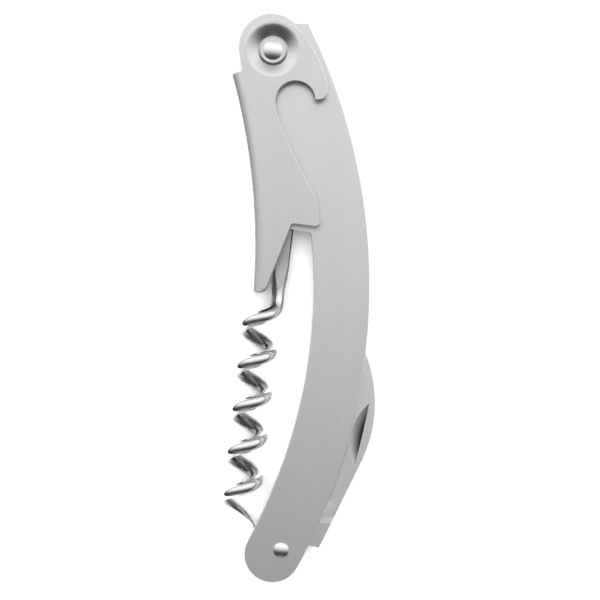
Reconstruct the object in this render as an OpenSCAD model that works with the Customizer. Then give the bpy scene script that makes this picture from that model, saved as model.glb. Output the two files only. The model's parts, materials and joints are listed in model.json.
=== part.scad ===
// Waiter's corkscrew: a curved sandwich handle of two steel plates on a sprung spine, with a
// folded boot lever and cap lifter, a five-turn worm and a foil knife, each on its own rivet.
// The tool lies flat: X runs across it, Y along it towards the lever end, Z up through it.
// The origin is at the middle of its footprint, on the surface that it lies on. Millimetres.

/* [Handle] */
// Radius of the handle's centre line
arc_r = 117.8; // [117.6:0.05:118]
// Width of the handle across the curve
handle_w = 11.8; // [11.6:0.1:12]
// Thickness of each side plate
plate_t = 1.2; // [1:0.1:1.3]
// Gap between the side plates
channel_w = 2.2; // [2.1:0.05:2.3]
// Radius of the rounded shoulder that carries the lever
boss_r = 6.9; // [6.7:0.1:7]
// Radius of the lobe that carries the worm
lobe_r = 5.6; // [5.4:0.1:5.7]
// Height of the square ear that stops the opened lever, above the middle of the tool
ear_top = 57.85; // [57.4:0.05:58]

/* [Lever] */
// Thickness of the folded lever sheet
sheet_t = 1.2; // [1:0.1:1.3]
// Width between the lever's cheeks
lever_gap = 7.4; // [7.2:0.1:7.6]
// Outside radius of the folds
fold_r = 2; // [1.6:0.1:2.2]
// Radius of the lever's curved back
back_r = 133.2; // [133:0.1:133.4]
// Radius of the cap lifter's hook
hook_r = 4.05; // [3.9:0.05:4.1]
// Radius of the pressed dish round the rivet, at the cheek's face
dish_r = 5.1; // [4.9:0.1:5.2]

/* [Worm] */
// Diameter of the worm's wire
wire_d = 2.9; // [2.7:0.1:3]
// Radius of the helix at the middle of the wire
helix_r = 3.35; // [3.2:0.05:3.4]
// Advance of the worm in each turn
pitch = 9.06; // [8.9:0.01:9.2]
// Number of turns
turns = 5; // [5:1:5]
// Distance from the worm's rivet to the start of the helix
shank_len = 22.65; // [22.4:0.05:22.8]
// Lean of the folded worm away from the handle
worm_lean = 6.6; // [6.6:0.1:7]

/* [Knife] */
// Thickness of the blade
blade_t = 1.5; // [1.3:0.1:1.6]
// Radius of the tang round its rivet
tang_r = 4.3; // [4.1:0.1:4.4]
// Radius of the belly of the blade's back
belly_r = 28.4; // [28:0.1:28.6]
// Length of the nail nick
nick_len = 13.6; // [12:0.1:14]

/* [Rivets] */
// Radius of the lever rivet's shank
lever_pin_r = 1.5; // [1.4:0.05:1.55]
// Radius of the worm rivet's shank
worm_pin_r = 1.25; // [1.1:0.05:1.3]
// Radius of the knife rivet's shank
knife_pin_r = 1.2; // [1:0.05:1.25]
// Radius of the hidden dowels that hold the spine
dowel_r = 1; // [0.8:0.05:1.1]

/* [Hidden] */

$fn = 128;
running = 0.05;    // radial clearance of a turning fit
seated = 0.02;     // radial clearance of a fixed fit
overlap = 0.03;    // how far joined outlines run into each other
reach = 200;       // longer than anything in the tool

// Heights above the tool's middle plane
channel_z = channel_w / 2;
plate_z = channel_z + plate_t;
cheek_in_z = lever_gap / 2;
cheek_z = cheek_in_z + sheet_t;
dish_in_z = plate_z + 0.1;
dish_z = dish_in_z + sheet_t;

// Centre of the handle's curve
arc_c = [-108, 2.75];
handle_in_r = arc_r - handle_w / 2;
handle_out_r = arc_r + handle_w / 2;
end_angle = -28.8;

function along(angle) = [cos(angle), sin(angle)];
function on_handle(offset, angle) = arc_c + (arc_r + offset) * along(angle);
function arc(centre, r, from, to, steps = 12) =
    [for (i = [0:steps]) centre + r * along(from + (to - from) * i / steps)];
function unit(v) = v / norm(v);

// Pivots, as an offset from the centre line and an angle round the handle's curve
lever_pivot = on_handle(-3.35, 25.4);
worm_pivot = on_handle(-9.7, 9.26);
knife_pivot = on_handle(1.17, -28);
boss_c = on_handle(-3.15, 26);
end_r = handle_w / 2 + 0.1;
end_c = on_handle(0, end_angle) + 0.1 * along(end_angle + 90);
upper_dowel_c = on_handle(3.3, 16);
lower_dowel_c = on_handle(1.5, 1.2);
dowel_in_plate = 0.8;

// ---- Handle --------------------------------------------------------------------------------

// Everything between two angles round the handle's curve
module sector(from, to) {
    translate(arc_c) polygon([[0, 0], reach * along(from), reach * along(to)]);
}

// The whole ring between two offsets from the handle's centre line
module band(inner, outer) {
    translate(arc_c) difference() {
        circle(arc_r + outer, $fn = 360);
        circle(arc_r + inner, $fn = 360);
    }
}

// The part of such a ring between two angles round the handle's curve
module strip(inner, outer, from, to) {
    intersection() {
        band(inner, outer);
        sector(from, to);
    }
}

// The side of the plates that the folded lever hides: a straight edge from round to round
module shoulder() {
    span = worm_pivot - boss_c;
    normal_a = atan2(span.y, span.x) - acos((boss_r - lobe_r) / norm(span));
    normal = along(normal_a);
    polygon([boss_c + (boss_r - overlap) * normal, worm_pivot + (lobe_r - overlap) * normal, worm_pivot,
             on_handle(0, 9.26), on_handle(0, 26), boss_c]);
}

lobe_tilt = -9.6;          // slope of the lobe's lower edge
lobe_fillet = 0.7;
lobe_edge = along(lobe_tilt);
lobe_down = [lobe_edge.y, -lobe_edge.x];
lobe_foot = worm_pivot + (lobe_r - overlap) * lobe_down;

// Distance from p along the unit vector d to the circle of radius r round the handle's centre
function to_handle(p, d, r) = let (f = p - arc_c, b = f * d) sqrt(b * b - f * f + r * r) - b;

// The small fillet where the lobe's lower edge runs into the handle
module sill_fillet() {
    fillet_from = lobe_foot + lobe_fillet * lobe_down;
    fillet_c = fillet_from + to_handle(fillet_from, lobe_edge, handle_in_r - lobe_fillet) * lobe_edge;
    out = unit(fillet_c - arc_c);
    polygon(concat(
        arc(fillet_c, lobe_fillet + overlap, atan2(out.y, out.x), 90 + lobe_tilt, 6),
        [fillet_c - 2 * lobe_fillet * lobe_down, lobe_foot + 8 * lobe_edge, fillet_c + 2 * lobe_fillet * out]));
}

module handle_outline() {
    intersection() {
        band(-handle_w / 2, handle_w / 2);
        union() {
            polygon([arc_c, arc_c + reach * along(end_angle), [reach / 2, ear_top], [boss_c.x, ear_top]]);
            translate(end_c) circle(end_r);
        }
    }
    translate(boss_c) circle(boss_r);
    translate(worm_pivot) circle(lobe_r);
    shoulder();
    polygon([worm_pivot, lobe_foot, lobe_foot + 8 * lobe_edge, on_handle(0, 8)]);
}

// One side plate, bored for the three rivets and blind-bored for the dowels
module plate(side) {
    mirror([0, 0, side < 0 ? 1 : 0]) difference() {
        translate([0, 0, channel_z]) {
            linear_extrude(plate_t) handle_outline();
            linear_extrude(plate_t) sill_fillet();
        }
        for (bore = [[lever_pivot, lever_pin_r], [worm_pivot, worm_pin_r], [knife_pivot, knife_pin_r]])
            translate([bore[0].x, bore[0].y, 0]) cylinder(h = 2 * plate_z, r = bore[1] + seated);
        for (centre = [upper_dowel_c, lower_dowel_c])
            translate([centre.x, centre.y, 0]) cylinder(h = channel_z + dowel_in_plate, r = dowel_r + seated);
    }
}

module front_plate() color("gainsboro") plate(1);

module rear_plate() color("gainsboro") plate(-1);

spine_inset = 0.4;         // the spine stands back from the plates' outer edge
spine_out = handle_w / 2 - spine_inset;
spine_foot_a = -1.5;       // lower end of the spine's solid part
leaf_in = -4.9;            // offset of the knife leaf's outer side
leaf_t = 1.8;
nose_a = -25.85;           // the knife leaf's nose rests just clear of the tang

// A band along the outer curve, the shoulder's disc, and the leaf for the knife's tang
module spine_outline() {
    intersection() {
        strip(0.9, spine_out, spine_foot_a, 40);
        translate([-reach / 2, -reach / 2]) square([reach, reach / 2 + ear_top - spine_inset]);
    }
    translate(boss_c) circle(boss_r - spine_inset);
    strip(leaf_in, spine_out, spine_foot_a, 3.6);
    strip(leaf_in, leaf_in + leaf_t, nose_a, spine_foot_a);
    strip(leaf_in, leaf_in + 4, nose_a, nose_a + 2.2);
}

// The leaf that presses on the worm's eye
module worm_leaf() {
    polygon([boss_c + [-0.2, -5], boss_c + [3.2, -5], worm_pivot + [1.1, 3.75],
             worm_pivot + [-0.9, 3.75]]);
}

// Spacer between the plates, in one piece with its two leaves
module spine_spring() {
    color("darkgray") translate([0, 0, -channel_z]) difference() {
        union() {
            linear_extrude(channel_w) spine_outline();
            linear_extrude(channel_w) worm_leaf();
        }
        for (bore = [[lever_pivot, lever_pin_r], [upper_dowel_c, dowel_r], [lower_dowel_c, dowel_r]])
            translate([bore[0].x, bore[0].y, -1]) cylinder(h = channel_w + 2, r = bore[1] + seated);
    }
}

module dowel(centre) {
    dowel_half = channel_z + dowel_in_plate - seated;
    color("darkgray") translate([centre.x, centre.y, -dowel_half]) cylinder(h = 2 * dowel_half, r = dowel_r);
}

module upper_dowel() dowel(upper_dowel_c);

module lower_dowel() dowel(lower_dowel_c);

// ---- Rivets and washers --------------------------------------------------------------------

// A rivet with a domed head on each side, standing on faces at seat_z
module rivet(centre, shank_r, head_r, head_h, seat_z) {
    dome_r = (head_r * head_r + head_h * head_h) / (2 * head_h);
    translate([centre.x, centre.y, 0]) {
        cylinder(h = 2 * seat_z, r = shank_r, center = true);
        for (side = [0, 1]) mirror([0, 0, side]) intersection() {
            translate([0, 0, seat_z]) cylinder(h = head_h + 1, r = head_r);
            translate([0, 0, seat_z + head_h - dome_r]) sphere(dome_r);
        }
    }
}

module ring(centre, inner_r, outer_r, low_z, high_z) {
    translate([centre.x, centre.y, low_z]) difference() {
        cylinder(h = high_z - low_z, r = outer_r);
        translate([0, 0, -1]) cylinder(h = high_z - low_z + 2, r = inner_r);
    }
}

lever_washer_z = [dish_z + 0.05, dish_z + 0.5];
knife_washer_z = [blade_t / 2 + 0.03, channel_z - 0.02];

module lever_rivet() color("silver") rivet(lever_pivot, lever_pin_r, 2.05, 0.65, lever_washer_z[1]);

module lever_washer(side) {
    color("silver") mirror([0, 0, side < 0 ? 1 : 0])
        ring(lever_pivot, lever_pin_r + seated, 2.7, lever_washer_z[0], lever_washer_z[1]);
}

module front_lever_washer() lever_washer(1);

module rear_lever_washer() lever_washer(-1);

module worm_rivet() color("silver") rivet(worm_pivot, worm_pin_r, 2.1, 0.6, plate_z);

module knife_rivet() color("silver") rivet(knife_pivot, knife_pin_r, 1.65, 0.6, plate_z);

module knife_washer(side) {
    color("silver") mirror([0, 0, side < 0 ? 1 : 0])
        ring(knife_pivot, knife_pin_r + seated, 3.6, knife_washer_z[0], knife_washer_z[1]);
}

module front_knife_washer() knife_washer(1);

module rear_knife_washer() knife_washer(-1);

// ---- Lever ---------------------------------------------------------------------------------

back_c = [-142.1, 11.25];  // centre of the curve of the lever's back
hook_c = [0.1, 41.15];
heel = [4.45, 21.25];      // upper corner of the cheek's heel
toe_c = [-7.75, 3.2];      // centre of the round of the lever's foot
toe_r = 2.15;

// A cheek seen from the front, with the web of the back: head, hook, slanting edge, heel, foot
module cheek_outline() {
    polygon(concat(
        arc([-3.9, 51.15], 7.1, 177, 93),
        arc([-5.4, 48.65], 9.67, 82, 38),
        arc([-16.6, 39.95], 23.8, 36, 11),
        arc([4.95, 43.05], 1.85, 0, -75, 6),
        arc([4.55, 41.95], 0.75, -90, -165, 5),
        arc(hook_c, hook_r, 5, 190, 24),
        arc([86.7, 69.65], 95.5, 199, 210.3, 8),
        [heel],
        arc([4.25, 15.75], 1, -8, -98, 6),
        arc([-0.3, 14.85], 0.5, 100, 160, 4),
        arc(toe_c, toe_r, -22, -97, 8),
        [[-8.75, 1.1], [-12, 1.1], [-25, 20], [-25, 40], [-13.75, 46.65], [-10.99, 47.5]]));
}

// Section of the folded sheet, out from the centre of the back's curve
module fold_section() {
    fold_in_r = fold_r - sheet_t;
    wide = 40;
    difference() {
        translate([back_r, 0]) {
            translate([fold_r, -cheek_z]) square([wide, 2 * cheek_z]);
            translate([0, fold_r - cheek_z]) square([wide, 2 * (cheek_z - fold_r)]);
            for (side = [-1, 1])
                translate([fold_r, side * (cheek_z - fold_r)]) circle(fold_r);
        }
        translate([back_r + sheet_t, 0]) {
            translate([fold_in_r, -cheek_in_z]) square([2 * wide, 2 * cheek_in_z]);
            translate([0, fold_in_r - cheek_in_z]) square([2 * wide, 2 * (cheek_in_z - fold_in_r)]);
            for (side = [-1, 1])
                translate([fold_in_r, side * (cheek_in_z - fold_in_r)]) circle(fold_in_r);
        }
    }
}

dish_floor_r = 3.3;        // flat floor of the dish
dish_back_r = 4.2;         // the same floor, seen from inside the lever
dish_slope = (dish_r - dish_floor_r) / (cheek_z - dish_z);

module lever() {
    color("lightgray") difference() {
        union() {
            intersection() {
                translate([back_c.x, back_c.y, 0]) rotate([0, 0, -20])
                    rotate_extrude(angle = 60, $fn = 360) fold_section();
                translate([0, 0, -10]) linear_extrude(20) cheek_outline();
            }
            for (side = [0, 1]) mirror([0, 0, side]) translate([lever_pivot.x, lever_pivot.y, dish_in_z])
                cylinder(h = cheek_in_z - dish_in_z + 0.2, r1 = dish_back_r, r2 = dish_r + 0.6);
        }
        for (side = [0, 1]) mirror([0, 0, side]) translate([lever_pivot.x, lever_pivot.y, dish_z])
            cylinder(h = cheek_z - dish_z + 0.2, r1 = dish_floor_r, r2 = dish_r + 0.2 * dish_slope);
        translate([lever_pivot.x, lever_pivot.y, 0])
            cylinder(h = 4 * cheek_z, r = lever_pin_r + running, center = true);
    }
}

// ---- Worm ----------------------------------------------------------------------------------
// Built hanging from its rivet at the origin, with the axis down -Y, then leant and placed.

eye_r = 3.1;
eye_t = 2;
shank_flat = [3.5, 1.9];   // section of the flattened shank
flat_end = 13.3;           // where the flat starts to round off
bend_start = 18.4;         // where the shank starts to bend into the helix
join_a = 50;               // turn of the helix at which the bend has met it
tip_a = turns * 360;
flare_a = 180;             // the last half turn opens out and stretches
taper_a = 300;             // the turn over which the wire is ground to its point
sides = 16;

// A point on the worm's centre line at turn a of the helix
function helix_at(a) =
    let (late = max(0, (a - tip_a + flare_a) / flare_a), r = helix_r + 0.6 * late * late)
    [r * cos(a) - helix_r, -shank_len - pitch * a / 360 - 1.5 * late * late, r * sin(a)];

join = helix_at(join_a);
join_dir = unit(helix_at(join_a + 1) - helix_at(join_a - 1));
bend = [[0, -bend_start, 0], [0, -bend_start - 3.2, 0], join - 2.5 * join_dir, join];
function bezier(p, t) = let (u = 1 - t)
    u * u * u * p[0] + 3 * u * u * t * p[1] + 3 * u * t * t * p[2] + t * t * t * p[3];

bend_steps = 10;
turn_step = 15;
shank_ys = [1.6, 6, 10, flat_end, 14.6, 15.9, 17.1];
// Each ring: [centre, direction of the wire's width, round share from 0 to 1, scale of the wire]
wire_rings = concat(
    [for (y = shank_ys) [[0, -y, 0], 0, max(0, (y - flat_end) / (bend_start + 1 - flat_end)), 1]],
    [for (i = [0:bend_steps - 1]) [bezier(bend, i / bend_steps), join_a * i / bend_steps,
        min(1, (bend_start + i * 0.6 - flat_end) / (bend_start + 1 - flat_end)), 1]],
    [for (a = [join_a:turn_step:tip_a - 5]) [helix_at(a), a, 1, min(1, sqrt((tip_a - a) / taper_a))]],
    [[helix_at(tip_a), tip_a, 1, 0.06]]);
ring_n = len(wire_rings);

// A signed power, for a section between a rounded bar and a circle
function spow(v, e) = sign(v) * pow(abs(v), e);
function ring_points(i) =
    let (r = wire_rings[i],
         before = wire_rings[max(0, i - 1)][0],
         after = wire_rings[min(ring_n - 1, i + 1)][0],
         t = unit(after - before),
         out = [cos(r[1]), 0, sin(r[1])],
         n = unit(out - (out * t) * t),
         b = cross(t, n),
         e = 0.35 + 0.65 * r[2],
         w = (shank_flat[0] + (wire_d - shank_flat[0]) * r[2]) / 2 * r[3],
         h = (shank_flat[1] + (wire_d - shank_flat[1]) * r[2]) / 2 * r[3])
    [for (k = [0:sides - 1]) let (q = 360 * k / sides)
        r[0] + w * spow(cos(q), e) * n + h * spow(sin(q), e) * b];

module wire() {
    points = [for (i = [0:ring_n - 1]) each ring_points(i)];
    walls = [for (i = [0:ring_n - 2], k = [0:sides - 1])
        let (a = i * sides + k, b = i * sides + (k + 1) % sides)
        each [[a, b + sides, b], [a, a + sides, b + sides]]];
    ends = [[for (k = [0:sides - 1]) k], [for (k = [sides - 1:-1:0]) (ring_n - 1) * sides + k]];
    polyhedron(points, concat(walls, ends));
}

module worm() {
    color("whitesmoke") translate([worm_pivot.x, worm_pivot.y, 0]) rotate([0, 0, -worm_lean]) difference() {
        union() {
            intersection() {
                cylinder(h = eye_t, r = eye_r + 0.25, center = true);
                translate([-eye_r, -eye_r - 2, -eye_t]) cube([2 * eye_r + 2, 2 * eye_r + 2, 2 * eye_t]);
            }
            wire();
        }
        cylinder(h = 2 * eye_t, r = worm_pin_r + running, center = true);
    }
}

// ---- Knife ---------------------------------------------------------------------------------
// Built folded, with its rivet at the origin, then placed.

belly_c = [-8.5, 31];
belly_a = [-25.3, 36.5];   // from the straight back to the point
edge_c = [-164.5, 65.3];   // centre of the hollow of the cutting edge
point = belly_c + belly_r * along(belly_a[1]);
edge_r = norm(point - edge_c);
edge_heel = edge_c + edge_r * along(-17.6);
grind_w = 5.2;             // width of the bevel behind the cutting edge
edge_t = 0.3;              // thickness left at the cutting edge
kick = [8, 0.2];           // outer corner of the tang

module blade_outline() {
    point_a = atan2(point.y - edge_c.y, point.x - edge_c.x);
    polygon(concat(
        [kick],
        arc(belly_c, belly_r, belly_a[0], belly_a[1], 20),
        arc(edge_c, edge_r, point_a, -17.6, 14),
        [edge_heel + [-0.9, -1.6], [2.4, 3.4], [0, 0], [4.2, 1.1]]));
    circle(tang_r);
}

// The bevel that thins one face of the blade towards its edge
module grind() {
    translate([edge_c.x, edge_c.y, 0]) rotate([0, 0, -17.6]) rotate_extrude(angle = 15, $fn = 360)
        polygon([[edge_r - 1, edge_t / 2 - 0.12], [edge_r + grind_w, blade_t / 2],
                 [edge_r + grind_w, blade_t], [edge_r - 1, blade_t]]);
}

nick_w = 2.1;
nick_depth = 0.5;
nick_mid = [17.15, 24.6];  // middle of the nick's straight wall
nick_lean = -13.3;         // direction of that wall

// The nail nick: a wheel with one flat and one sloping side, sunk into the face
module nail_nick() {
    wheel_r = (nick_len * nick_len / 4 + nick_depth * nick_depth) / (2 * nick_depth);
    translate([nick_mid.x, nick_mid.y, blade_t / 2 + wheel_r - nick_depth]) rotate([0, 0, nick_lean])
        rotate([0, -90, 0]) cylinder(h = nick_w, r1 = wheel_r, r2 = wheel_r - nick_depth, $fn = 360);
}

module knife() {
    color("silver") translate([knife_pivot.x, knife_pivot.y, 0]) difference() {
        translate([0, 0, -blade_t / 2]) linear_extrude(blade_t) blade_outline();
        grind();
        mirror([0, 0, 1]) grind();
        nail_nick();
        cylinder(h = 2 * blade_t, r = knife_pin_r + running, center = true);
    }
}

// Lifts the tool so that the lever's rear cheek lies on the ground
module lying() translate([0, 0, cheek_z]) children();

lying() front_plate();
lying() rear_plate();
lying() spine_spring();
lying() upper_dowel();
lying() lower_dowel();
lying() lever_rivet();
lying() front_lever_washer();
lying() rear_lever_washer();
lying() worm_rivet();
lying() knife_rivet();
lying() front_knife_washer();
lying() rear_knife_washer();
lying() lever();
lying() worm();
lying() knife();
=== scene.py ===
"""Looks of a folding waiter's corkscrew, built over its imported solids.

Every sub-assembly is a class that holds its sizes in millimetres, models its pieces in the tool's
own frame and dresses them. The tool lies flat: X runs across it, Y along it towards the lever's
hinge, and Z up through it. Its middle plane holds all three hinge points.
"""

import json
import logging
import math
from dataclasses import dataclass
from enum import Enum

import bmesh
import bpy
from bmesh.types import BMEdge, BMesh, BMFace, BMVert
from mathutils import Matrix, Vector


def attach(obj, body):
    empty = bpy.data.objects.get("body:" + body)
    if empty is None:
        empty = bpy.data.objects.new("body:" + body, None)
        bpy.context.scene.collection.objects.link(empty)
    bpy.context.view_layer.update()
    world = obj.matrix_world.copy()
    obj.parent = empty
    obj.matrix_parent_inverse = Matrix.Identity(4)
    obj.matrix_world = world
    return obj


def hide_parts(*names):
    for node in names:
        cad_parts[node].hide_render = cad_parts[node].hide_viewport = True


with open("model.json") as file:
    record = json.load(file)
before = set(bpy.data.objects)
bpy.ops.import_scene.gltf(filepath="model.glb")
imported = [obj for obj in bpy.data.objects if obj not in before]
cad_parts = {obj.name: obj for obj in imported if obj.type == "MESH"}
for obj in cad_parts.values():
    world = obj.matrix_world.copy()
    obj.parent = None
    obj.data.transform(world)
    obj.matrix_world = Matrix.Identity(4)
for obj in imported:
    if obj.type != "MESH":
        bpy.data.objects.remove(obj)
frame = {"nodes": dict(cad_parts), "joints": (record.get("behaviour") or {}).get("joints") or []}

MM = 0.001
UP = Vector((0.0, 0.0, 1.0))
TOUCHING = 0.004  # points nearer than this, in millimetres, are one point
BRUSHED_RELIEF = 0.25
POLISHED_RELIEF = 0.6
LEVER_SHANK_R = 1.5  # radii of the three rivets' shanks
WORM_SHANK_R = 1.25
KNIFE_SHANK_R = 1.2
PLATE_FACE = 2.3  # height of the plates' outer faces over the middle plane
WASHER_FACE = 4.1  # height of the lever washers' outer faces over the middle plane
HELIX_R = 3.35
WORM_LEAN = 6.6  # degrees from the tool's length

log = logging.getLogger("corkscrew")


# ---- Drawing and meshing -------------------------------------------------------------------


def polar(centre: tuple[float, float], radius: float, degrees: float) -> Vector:
    """Gives the point at a radius and an angle round a centre."""
    turn = math.radians(degrees)
    return Vector((centre[0] + radius * math.cos(turn), centre[1] + radius * math.sin(turn), 0.0))


def heading(vector: Vector) -> float:
    """Gives a flat vector's direction in degrees, from the X axis."""
    return math.degrees(math.atan2(vector.y, vector.x))


@dataclass(frozen=True)
class Arc:
    """A round stretch of an outline."""

    centre: tuple[float, float]
    radius: float
    start: float
    end: float
    steps: int = 16

    def first(self) -> Vector:
        """Gives the point where the arc starts."""
        return polar(self.centre, self.radius, self.start)


@dataclass(frozen=True)
class Corner:
    """A point that an outline turns at."""

    x: float
    y: float

    def first(self) -> Vector:
        """Gives the corner's point."""
        return Vector((self.x, self.y, 0.0))


Stroke = Arc | Corner


def trace(bm: BMesh, strokes: list[Stroke], closed: bool = True) -> list[BMEdge]:
    """Draws an outline of edges on the XY plane.

    Args:
        bm: The mesh to draw in.
        strokes: The outline's corners and arcs in order. A straight edge joins each to the next.
        closed: Whether an edge joins the end to the start.

    Returns:
        The outline's edges.
    """
    known = set(bm.edges)
    start = tip = bmesh.ops.create_vert(bm, co=strokes[0].first())["vert"][0]
    for stroke in strokes:
        gap = stroke.first() - tip.co
        if gap.length > TOUCHING:
            tip = bmesh.ops.extrude_vert_indiv(bm, verts=[tip])["verts"][0]
            bmesh.ops.translate(bm, verts=[tip], vec=gap)
        if isinstance(stroke, Arc):
            turned = bmesh.ops.spin(
                bm, geom=[tip], cent=(*stroke.centre, 0.0), axis=UP,
                angle=math.radians(stroke.end - stroke.start), steps=stroke.steps)
            tip = next(g for g in turned["geom_last"] if isinstance(g, BMVert))
    if closed:
        if (tip.co - start.co).length > TOUCHING:
            bmesh.ops.contextual_create(bm, geom=[tip, start])
        else:
            bmesh.ops.pointmerge(bm, verts=[start, tip], merge_co=start.co)
    return [edge for edge in bm.edges if edge not in known]


def bowed(start: Vector, end: Vector, bow: float, steps: int) -> Arc:
    """Gives the arc from one point to another that bows out to the right of the way by a distance.

    Args:
        start: The arc's first point.
        end: Its last point.
        bow: How far the arc's middle stands off the straight line, less than half its length.
        steps: The number of steps along it.

    Returns:
        The arc, which turns anticlockwise.
    """
    chord = end - start
    radius = chord.length ** 2 / (8 * bow) + bow / 2
    inward = Vector((-chord.y, chord.x, 0.0)).normalized()
    centre = (start + end) / 2 + inward * (radius - bow)
    first = heading(start - centre)
    sweep = math.degrees(2 * math.asin(chord.length / (2 * radius)))
    return Arc(centre.xy[:], radius, first, first + sweep, steps)


def verts_of(edges: list[BMEdge]) -> list[BMVert]:
    """Gives the points of some edges, each once."""
    return list(dict.fromkeys(vert for edge in edges for vert in edge.verts))


def turn_about(bm: BMesh, verts: list[BMVert], degrees: float, axis: str) -> None:
    """Turns points about an axis through the origin."""
    bmesh.ops.rotate(bm, verts=verts, cent=(0, 0, 0), matrix=Matrix.Rotation(math.radians(degrees), 3, axis))


def turned_shape(bm: BMesh, profile: list[Stroke], closed: bool, steps: int) -> None:
    """Turns a profile right round the Z axis, with the profile's X as radius and its Y as height.

    Args:
        bm: The mesh to turn it in.
        profile: The profile's strokes.
        closed: Whether the profile is a loop, as a ring's is.
        steps: The number of steps in the turn.
    """
    edges = trace(bm, profile, closed)
    verts = verts_of(edges)
    turn_about(bm, verts, 90.0, "X")
    bmesh.ops.spin(bm, geom=verts + edges, cent=(0, 0, 0), axis=UP, angle=2 * math.pi,
                   steps=steps, use_merge=True)


def thick_outline(bm: BMesh, outline: list[Stroke], holes: list[list[Stroke]], low: float, high: float) -> None:
    """Makes a flat plate of an outline with holes.

    Args:
        bm: The mesh to make it in.
        outline: The plate's outer edge.
        holes: The outlines of its holes.
        low: Height of its lower face.
        high: Height of its upper face.
    """
    edges = [edge for strokes in [outline, *holes] for edge in trace(bm, strokes)]
    bmesh.ops.translate(bm, verts=verts_of(edges), vec=UP * low)
    sheet = [g for g in bmesh.ops.triangle_fill(bm, edges=edges, use_beauty=True, normal=-UP)["geom"]
             if isinstance(g, BMFace)]
    raised = bmesh.ops.extrude_face_region(bm, geom=sheet, use_keep_orig=True)["geom"]
    bmesh.ops.translate(bm, verts=[g for g in raised if isinstance(g, BMVert)], vec=UP * (high - low))


def to_piece(bm: BMesh, name: str, weld: float = TOUCHING, outward: bool = True) -> bpy.types.Object:
    """Turns a mesh drawn in millimetres into a smooth-shaded object in metres, at the origin.

    Args:
        bm: The mesh, which is freed.
        name: The object's name.
        weld: Points nearer than this are merged.
        outward: Whether to turn all faces outwards.

    Returns:
        The new object, linked to the scene.
    """
    bmesh.ops.remove_doubles(bm, verts=bm.verts, dist=weld)
    if outward:
        bmesh.ops.recalc_face_normals(bm, faces=bm.faces)
    bmesh.ops.scale(bm, vec=(MM, MM, MM), verts=bm.verts)
    mesh = bpy.data.meshes.new(name)
    bm.to_mesh(mesh)
    bm.free()
    mesh.shade_smooth()
    piece = bpy.data.objects.new(name, mesh)
    bpy.context.scene.collection.objects.link(piece)
    return piece


def round_edges(piece: bpy.types.Object, width: float, segments: int = 2, angle: float = 35.0) -> None:
    """Rounds a piece's sharp edges and keeps its flat faces flat in shading.

    Args:
        piece: The piece.
        width: Width of the rounding, in millimetres.
        segments: Faces across the rounding.
        angle: Edges sharper than this are rounded, in degrees.
    """
    bevel = piece.modifiers.new("edge_rounding", "BEVEL")
    bevel.width = width * MM
    bevel.segments = segments
    bevel.limit_method = "ANGLE"
    bevel.angle_limit = math.radians(angle)
    bevel.use_clamp_overlap = False
    bevel.harden_normals = True


def hinge_point(joint: str) -> Vector:
    """Gives a joint's point in millimetres."""
    found = next(j for j in frame["joints"] if j["name"] == joint)
    return Vector(found["pos_m"]) / MM


LEVER_PIN = hinge_point("lever_hinge")
WORM_PIN = hinge_point("worm_hinge")
KNIFE_PIN = hinge_point("knife_hinge")
MIDDLE = LEVER_PIN.z  # height of the tool's middle plane


class Side(Enum):
    """The two faces of the tool."""

    FRONT = 1
    REAR = -1


# ---- Finishes ------------------------------------------------------------------------------


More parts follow.
